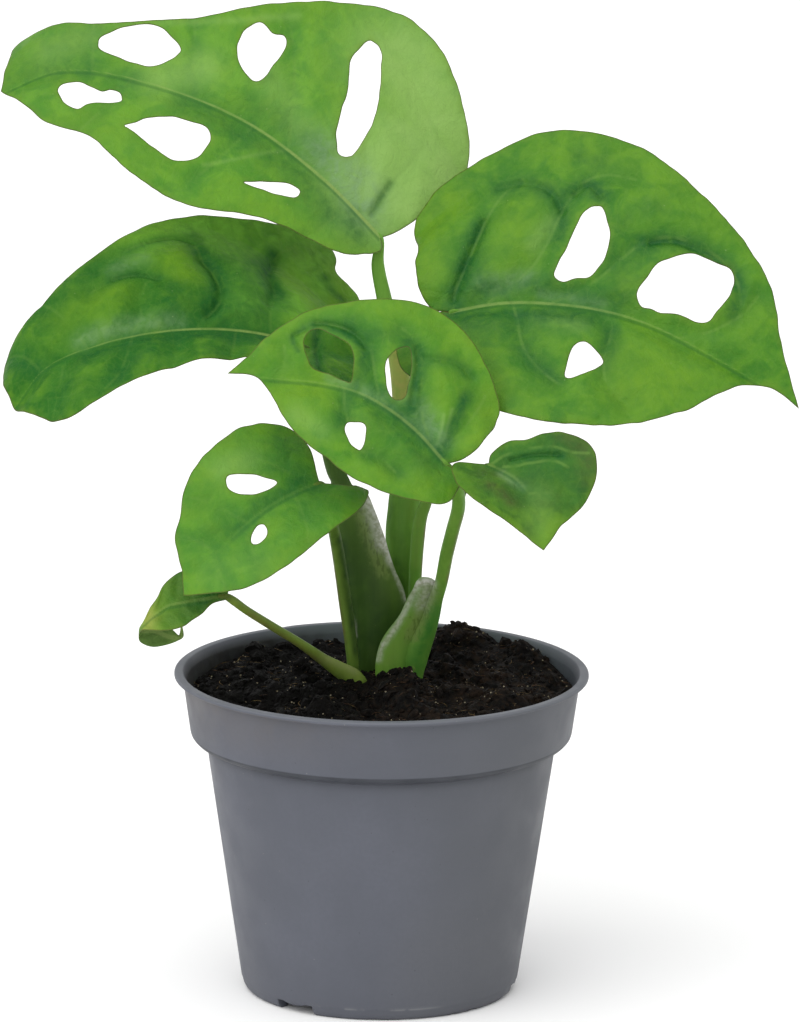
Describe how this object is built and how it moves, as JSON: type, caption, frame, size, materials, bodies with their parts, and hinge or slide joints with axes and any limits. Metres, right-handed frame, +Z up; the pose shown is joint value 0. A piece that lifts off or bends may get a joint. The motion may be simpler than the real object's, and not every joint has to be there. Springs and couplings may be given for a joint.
{
  "type": "potted monstera obliqua",
  "caption": "Young potted monstera obliqua: heart-shaped leaves with oval holes on upright stalks, growing from dark soil in a round grey nursery pot.",
  "frame": {"origin": "centre of the pot's foot pad, on the pot's axis in the plane that the pot stands on", "axes": "+Z up along the pot's axis; -Y is the front, the side that the leaves' upper faces turn to; +X is to the right in the front view"},
  "size_m": [0.2307, 0.1212, 0.2807],
  "materials": {
    "pot": "satin grey nursery pot plastic",
    "soil": "damp crumbly potting soil",
    "petiole": "smooth green stalk",
    "blade": "waxy green leaf"
  },
  "bodies": {
    "root": {"pot": "pot", "soil": "soil", "petiole_upper_left": "petiole", "petiole_left": "petiole", "petiole_middle": "petiole", "petiole_upper_right": "petiole", "petiole_small_right": "petiole", "petiole_lower_left": "petiole", "petiole_curled": "petiole", "blade_upper_left": "blade", "blade_left": "blade", "blade_middle": "blade", "blade_upper_right": "blade", "blade_small_right": "blade", "blade_lower_left": "blade", "blade_curled": "blade"}
  },
  "joints": []
}
